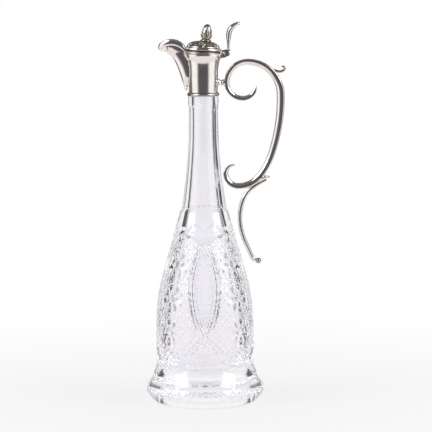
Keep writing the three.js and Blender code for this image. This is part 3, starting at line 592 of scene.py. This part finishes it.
# The cutting. Angles are in degrees from the front, and the body's pattern repeats each quarter turn.
bottle = {
    "steps": 360,
    "flutes": 40, "fluteDepth": 0.5, "fluteTop": 17.0, "fluteArch": 4, "fluteFoot": 5, "fluteFade": 1.5,
    "fluteLimit": 19.4,
    "panels": 10, "panelTurn": -4.5, "panelLow": 196, "panelHigh": 296,
    "panelFlatness": 0.6,  # 1 would be a true flat, 0 a round neck
    "notchDepth": 0.14, "notchHalfWidth": 1.1,
    "patternLow": 40, "patternHigh": 176,
    "ovalMid": 108.0, "ovalHalfHeight": 65.0, "ovalHalfAngle": 61.8, "ovalSpread": 11.5, "ovalPower": 2.25,
    "grooveHalfWidth": 2.6, "grooveFlat": 0.9, "grooveDepth": 2.1,
    "starRadius": 14.0, "starHeights": (75.0, 108.0, 141.0), "starRays": 8, "starDepth": 1.0, "starGrowth": 5,
    "starRim": 2.0, "starRimShare": 0.8, "starButton": 4.0, "starButtonEdge": 1.3, "starButtonShare": 0.7,
    "nailPitch": 6.6, "nailHalfWidth": 1.6, "nailDepth": 0.5, "grainPitch": 1.1, "grainDepth": 0.1,
}


def ovalReach(u, v):
    power = bottle["ovalPower"]
    return (abs(u) ** power + abs(v) ** power) ** (1 / power)


def starDepth(across, up):
    # a hobstar: rays cut from a raised button out to a ring, or nothing outside it
    reach = math.hypot(across, up)
    if reach > bottle["starRadius"] + bottle["starRim"]:
        return 0.0
    ringEdge = wedge(reach - bottle["starRadius"], bottle["starRim"])
    ring = bottle["starDepth"] * bottle["starRimShare"] * ringEdge
    buttonEdge = wedge(reach - bottle["starButton"], bottle["starButtonEdge"])
    button = bottle["starDepth"] * bottle["starButtonShare"] * buttonEdge
    turn = math.degrees(math.atan2(up, across))
    ray = 1 - triangleWave(turn + 180 / bottle["starRays"], 360 / bottle["starRays"])
    grown = clamp((reach - bottle["starButton"]) / bottle["starGrowth"])
    inside = 1.0 if reach < bottle["starRadius"] else 0.0
    return max(ring, button, bottle["starDepth"] * ray * grown * inside)


def nailDepth(across, up):
    # crossed mitres that leave a field of small pyramids
    pitch = bottle["nailPitch"]
    crossed = ((across + up) % pitch - pitch / 2, (across - up) % pitch - pitch / 2)
    return bottle["nailDepth"] * max(wedge(one, bottle["nailHalfWidth"]) for one in crossed)


def cutDepth(angle, height, radius):
    # two grooved ovals a quarter turn apart cross here: stars and nails fill what is inside one alone, and a
    # fine grain what is inside both
    quarter = abs((angle + 45) % 90 - 45)
    v = (height - bottle["ovalMid"]) / bottle["ovalHalfHeight"]
    halfAngle = bottle["ovalHalfAngle"] + bottle["ovalSpread"] * v
    near = ovalReach((45 - quarter) / halfAngle, v)
    far = ovalReach((45 + quarter) / halfAngle, v)
    arc = math.radians(1) * radius
    depth = 0.0
    for reach in (near, far):
        away = abs(reach - 1) * halfAngle * arc
        wall = (bottle["grooveHalfWidth"] - away) / (bottle["grooveHalfWidth"] - bottle["grooveFlat"])
        depth = max(depth, bottle["grooveDepth"] * clamp(wall))
    across = (45 - quarter) * arc
    gap = bottle["grooveHalfWidth"] / (halfAngle * arc)
    if near < 1 - gap and far > 1 + gap:
        star = max(starDepth(across, height - middle) for middle in bottle["starHeights"])
        nearest = min(math.hypot(across, height - middle) for middle in bottle["starHeights"])
        isField = nearest > bottle["starRadius"] + bottle["starRim"]
        depth = max(depth, star, nailDepth(across, height - bottle["ovalMid"]) if isField else 0.0)
    if near < 1 - gap and far < 1 - gap:
        grain = round(height / bottle["grainPitch"]) % 2 + round(angle) % 2
        depth = max(depth, bottle["grainDepth"] * grain)
    return depth


def fluteDepth(angle, height):
    # shallow upright flutes under the foot's edge, each with an arched top
    wave = triangleWave(angle + 180 / bottle["flutes"], 360 / bottle["flutes"])
    arch = bottle["fluteTop"] - bottle["fluteArch"] * wave ** 2
    rise = min(1.0, height / bottle["fluteFoot"]) * clamp((arch - height) / bottle["fluteFade"])
    return bottle["fluteDepth"] * rise * (1 - wave ** 2)


def bottleProfile():
    outer = [(0, 0), (profile["groundRadius"], 0)]
    outer += bezier(*profile["footEdge"]) + profile["footRoll"] + bezier(*profile["footHollow"])
    outer += straightRun(*profile["lowBody"]) + bezier(*profile["belly"], skipFirst=True)
    outer += straightRun(*profile["taper"]) + straightRun(*profile["shoulder"]) + profile["shoulderStep"]
    outer += bezier(*profile["neck"]) + profile["mountSeat"]
    inner = profile["floor"] + bezier(*profile["floorCorner"]) + profile["cavityWall"]
    inner += bezier(*profile["cavityTaper"]) + bezier(*profile["boreTaper"], skipFirst=True) + profile["bore"]
    return outer, inner


def shapeBottle(outer, inner):
    # the profile stands half a step round, so that the ridges between the neck's panels fall on the grid
    bm = bmesh.new()
    path = outer + inner[::-1]
    halfStep = math.pi / bottle["steps"]
    x, y = math.cos(halfStep), math.sin(halfStep)
    verts = [bm.verts.new((r * x * mm, r * y * mm, z * mm)) for r, z in path]
    edges = [bm.edges.new(pair) for pair in zip(verts, verts[1:])]
    bmesh.ops.spin(bm, geom=verts + edges, cent=(0, 0, 0), axis=(0, 0, 1), angle=math.tau,
                   steps=bottle["steps"], use_merge=True)
    bmesh.ops.remove_doubles(bm, verts=bm.verts, dist=weldGap * mm)
    bmesh.ops.recalc_face_normals(bm, faces=bm.faces)
    return bm


def cutBottle():
    outer, inner = bottleProfile()
    bm = shapeBottle(outer, inner)
    outerRadius = {z: r for r, z in outer}
    rows = sorted(outerRadius)
    # every second row of the neck is notched, apart from its ends
    notched = set([z for z in rows if bottle["panelLow"] <= z <= bottle["panelHigh"]][3:-2:2])
    panel = 360 / bottle["panels"]
    for vert in bm.verts:
        radius = math.hypot(vert.co.x, vert.co.y) / mm
        height = rows[min(bisect.bisect(rows, vert.co.z / mm - slack), len(rows) - 1)]
        if abs(height - vert.co.z / mm) > slack or abs(outerRadius[height] - radius) > slack:
            continue
        angle = math.degrees(math.atan2(vert.co.x, -vert.co.y))
        change = 0.0
        if 0 < height < bottle["fluteLimit"]:
            change = -fluteDepth(angle, height)
        elif bottle["patternLow"] <= height <= bottle["patternHigh"]:
            change = -cutDepth(angle, height, radius)
        elif bottle["panelLow"] <= height <= bottle["panelHigh"]:
            offset = (angle - bottle["panelTurn"] + panel / 2) % panel - panel / 2
            change = bottle["panelFlatness"] * (radius / math.cos(math.radians(offset)) - radius)
            ridge = (panel / 2 - abs(offset)) * math.radians(1) * radius
            if height in notched:
                change -= bottle["notchDepth"] * wedge(ridge, bottle["notchHalfWidth"])
        factor = (radius + change) / radius
        vert.co.x *= factor
        vert.co.y *= factor
    finishPiece(bm, "cutBottle", "glass_body", "root", crystal, smoothAngle=14)


cutBottle()
print("bottle cut")

# The studio. Angles round the room run from 0 on the camera's side to 1 straight behind the jug. The edges
# of the ceiling and of the line's top are sines of the height angle, and reaches on the table are in metres.
# Silver sees a grey room with a white strip at each side and a white back. Glass sees a dark front and pale
# walls, with a low dark line at each side that goes on over the table.
studio = {
    "front": "5A575B", "strip": "FFFFFF", "side": "736C67", "back": "FFFFFF", "ceiling": "6E6A69",
    "frontEdge": (0.19, 0.29), "stripEdge": (0.5, 0.56), "backEdge": (0.86, 0.9), "ceilingEdge": (0.5, 0.62),
    "throughFront": "3A383C", "through": "F2F1F5", "line": "2C2A2E", "tableLine": "343236",
    "lineStart": (0.6, 0.65), "lineEnd": (0.785, 0.815), "lineTop": (0.12, 0.25),
    "tableLineReach": (0.3, 0.42), "tableInSilver": "F3ECEC", "tableRoomReach": (0.55, 0.65),
    "glassBounces": 32, "silverBounces": 16,
}
table = {
    "radius": 1.1, "sides": 96, "drop": 0.0002,
    "matte": "F2F0F1", "whiteReach": (0.1, 0.6), "whiteNear": 0.82,
}
softboxes = {"side": 1.5, "front": 0.9, "height": 1.3, "size": 1.1, "power": 14.0, "aimHeight": 0.15}
white = (1.0, 1.0, 1.0, 1.0)


def roundTheRoom(tree, place):
    axes = addNode(tree, "ShaderNodeSeparateXYZ", {0: place})
    toward = addNode(tree, "ShaderNodeMath", {0: axes.outputs["Y"], 1: -1.0}, operation="MULTIPLY")
    around = addNode(tree, "ShaderNodeMath", {0: axes.outputs["X"], 1: toward.outputs[0]},
                     operation="ARCTAN2")
    around = addNode(tree, "ShaderNodeMath", {0: around.outputs[0]}, operation="ABSOLUTE")
    around = addNode(tree, "ShaderNodeMath", {0: around.outputs[0], 1: math.pi}, operation="DIVIDE")
    return around.outputs[0], axes.outputs["Z"]


def blendOver(tree, value, edge, before, after):
    low, high = studio[edge]
    share = addNode(tree, "ShaderNodeMapRange", {0: value, 1: low, 2: high, 3: 0.0, 4: 1.0})
    blend = addNode(tree, "ShaderNodeMix", {0: share.outputs[0], 6: before, 7: after}, data_type="RGBA")
    return blend.outputs[2]


def roomInSilver(tree, around):
    look = blendOver(tree, around, "frontEdge", toLinear(studio["front"]), toLinear(studio["strip"]))
    look = blendOver(tree, around, "stripEdge", look, toLinear(studio["side"]))
    return blendOver(tree, around, "backEdge", look, toLinear(studio["back"]))


def tableMaterial():
    # a white sheet that camera, silver and glass see lit, and partly matte near the jug, to take its shadow
    material = emptyMaterial("paleTable")
    tree = material.node_tree
    ray = addNode(tree, "ShaderNodeLightPath")
    seen = addNode(tree, "ShaderNodeMath", {0: ray.outputs["Is Camera Ray"], 1: ray.outputs["Is Glossy Ray"]},
                   operation="MAXIMUM")
    seen = addNode(tree, "ShaderNodeMath", {0: seen.outputs[0], 1: ray.outputs["Is Transmission Ray"]},
                   operation="MAXIMUM")
    place = addNode(tree, "ShaderNodeTexCoord").outputs["Object"]
    away = addNode(tree, "ShaderNodeVectorMath", {0: place}, operation="LENGTH").outputs["Value"]
    low, high = table["whiteReach"]
    whiter = addNode(tree, "ShaderNodeMapRange", {0: away, 1: low, 2: high, 3: table["whiteNear"], 4: 1.0})
    share = addNode(tree, "ShaderNodeMath", {0: seen.outputs[0], 1: whiter.outputs[0]}, operation="MULTIPLY")
    matte = addNode(tree, "ShaderNodeBsdfDiffuse", {"Color": toLinear(table["matte"])})
    around, _ = roundTheRoom(tree, place)
    through = blendOver(tree, around, "lineStart", white, toLinear(studio["tableLine"]))
    through = blendOver(tree, around, "lineEnd", through, white)
    through = blendOver(tree, away, "tableLineReach", white, through)
    tint = addNode(tree, "ShaderNodeMix", {0: ray.outputs["Is Transmission Ray"], 6: white, 7: through},
                   data_type="RGBA")
    # a transmission ray counts as glossy too, so it is taken off
    glossyOnly = addNode(tree, "ShaderNodeMath", {
        0: ray.outputs["Is Glossy Ray"], 1: ray.outputs["Is Transmission Ray"],
    }, operation="SUBTRACT", use_clamp=True)
    inSilver = toLinear(studio["tableInSilver"])
    inSilver = blendOver(tree, away, "tableRoomReach", inSilver, roomInSilver(tree, around))
    tint = addNode(tree, "ShaderNodeMix", {0: glossyOnly.outputs[0], 6: tint.outputs[2], 7: inSilver},
                   data_type="RGBA")
    bright = addNode(tree, "ShaderNodeEmission", {"Color": tint.outputs[2], "Strength": 1.0})
    surface = addNode(tree, "ShaderNodeMixShader", {
        0: share.outputs[0], 1: matte.outputs[0], 2: bright.outputs[0],
    })
    addNode(tree, "ShaderNodeOutputMaterial", {"Surface": surface.outputs[0]})
    return material


def setTable():
    bm = bmesh.new()
    bmesh.ops.create_circle(bm, cap_ends=True, segments=table["sides"], radius=table["radius"])
    mesh = bpy.data.meshes.new("studioTable")
    bm.to_mesh(mesh)
    bm.free()
    mesh.materials.append(tableMaterial())
    floor = addObject("studioTable", mesh)
    floor.location.z = -table["drop"]


def setWorld():
    world = bpy.data.worlds.new("softStudio")
    bpy.context.scene.world = world
    world.use_nodes = True
    tree = world.node_tree
    tree.nodes.clear()
    coords = addNode(tree, "ShaderNodeTexCoord")
    around, up = roundTheRoom(tree, coords.outputs["Generated"])
    look = blendOver(tree, up, "ceilingEdge", roomInSilver(tree, around), toLinear(studio["ceiling"]))
    pale = toLinear(studio["through"])
    through = blendOver(tree, around, "frontEdge", toLinear(studio["throughFront"]), pale)
    through = blendOver(tree, around, "lineStart", through, toLinear(studio["line"]))
    through = blendOver(tree, around, "lineEnd", through, toLinear(studio["back"]))
    through = blendOver(tree, up, "lineTop", through, pale)
    ray = addNode(tree, "ShaderNodeLightPath")
    final = addNode(tree, "ShaderNodeMix", {0: ray.outputs["Is Transmission Ray"], 6: look, 7: through},
                    data_type="RGBA")
    final = addNode(tree, "ShaderNodeMix", {0: ray.outputs["Is Camera Ray"], 6: final.outputs[2], 7: white},
                    data_type="RGBA")
    background = addNode(tree, "ShaderNodeBackground", {"Color": final.outputs[2], "Strength": 1.0})
    addNode(tree, "ShaderNodeOutputWorld", {"Surface": background.outputs[0]})


def setLamps():
    for name, side in (("softboxLeft", -softboxes["side"]), ("softboxRight", softboxes["side"])):
        data = bpy.data.lights.new(name, "AREA")
        data.shape = "SQUARE"
        data.size = softboxes["size"]
        data.energy = softboxes["power"]
        lamp = addObject(name, data)
        place = Vector((side, -softboxes["front"], softboxes["height"]))
        toward = Vector((0, 0, softboxes["aimHeight"])) - place
        lamp.matrix_world = Matrix.Translation(place) @ toward.to_track_quat("-Z", "Y").to_matrix().to_4x4()


setTable()
setWorld()
setLamps()
scene = bpy.context.scene
scene.view_settings.view_transform = "Standard"
scene.cycles.max_bounces = studio["glassBounces"]
scene.cycles.transmission_bounces = studio["glassBounces"]
scene.cycles.glossy_bounces = studio["silverBounces"]
print("studio set")
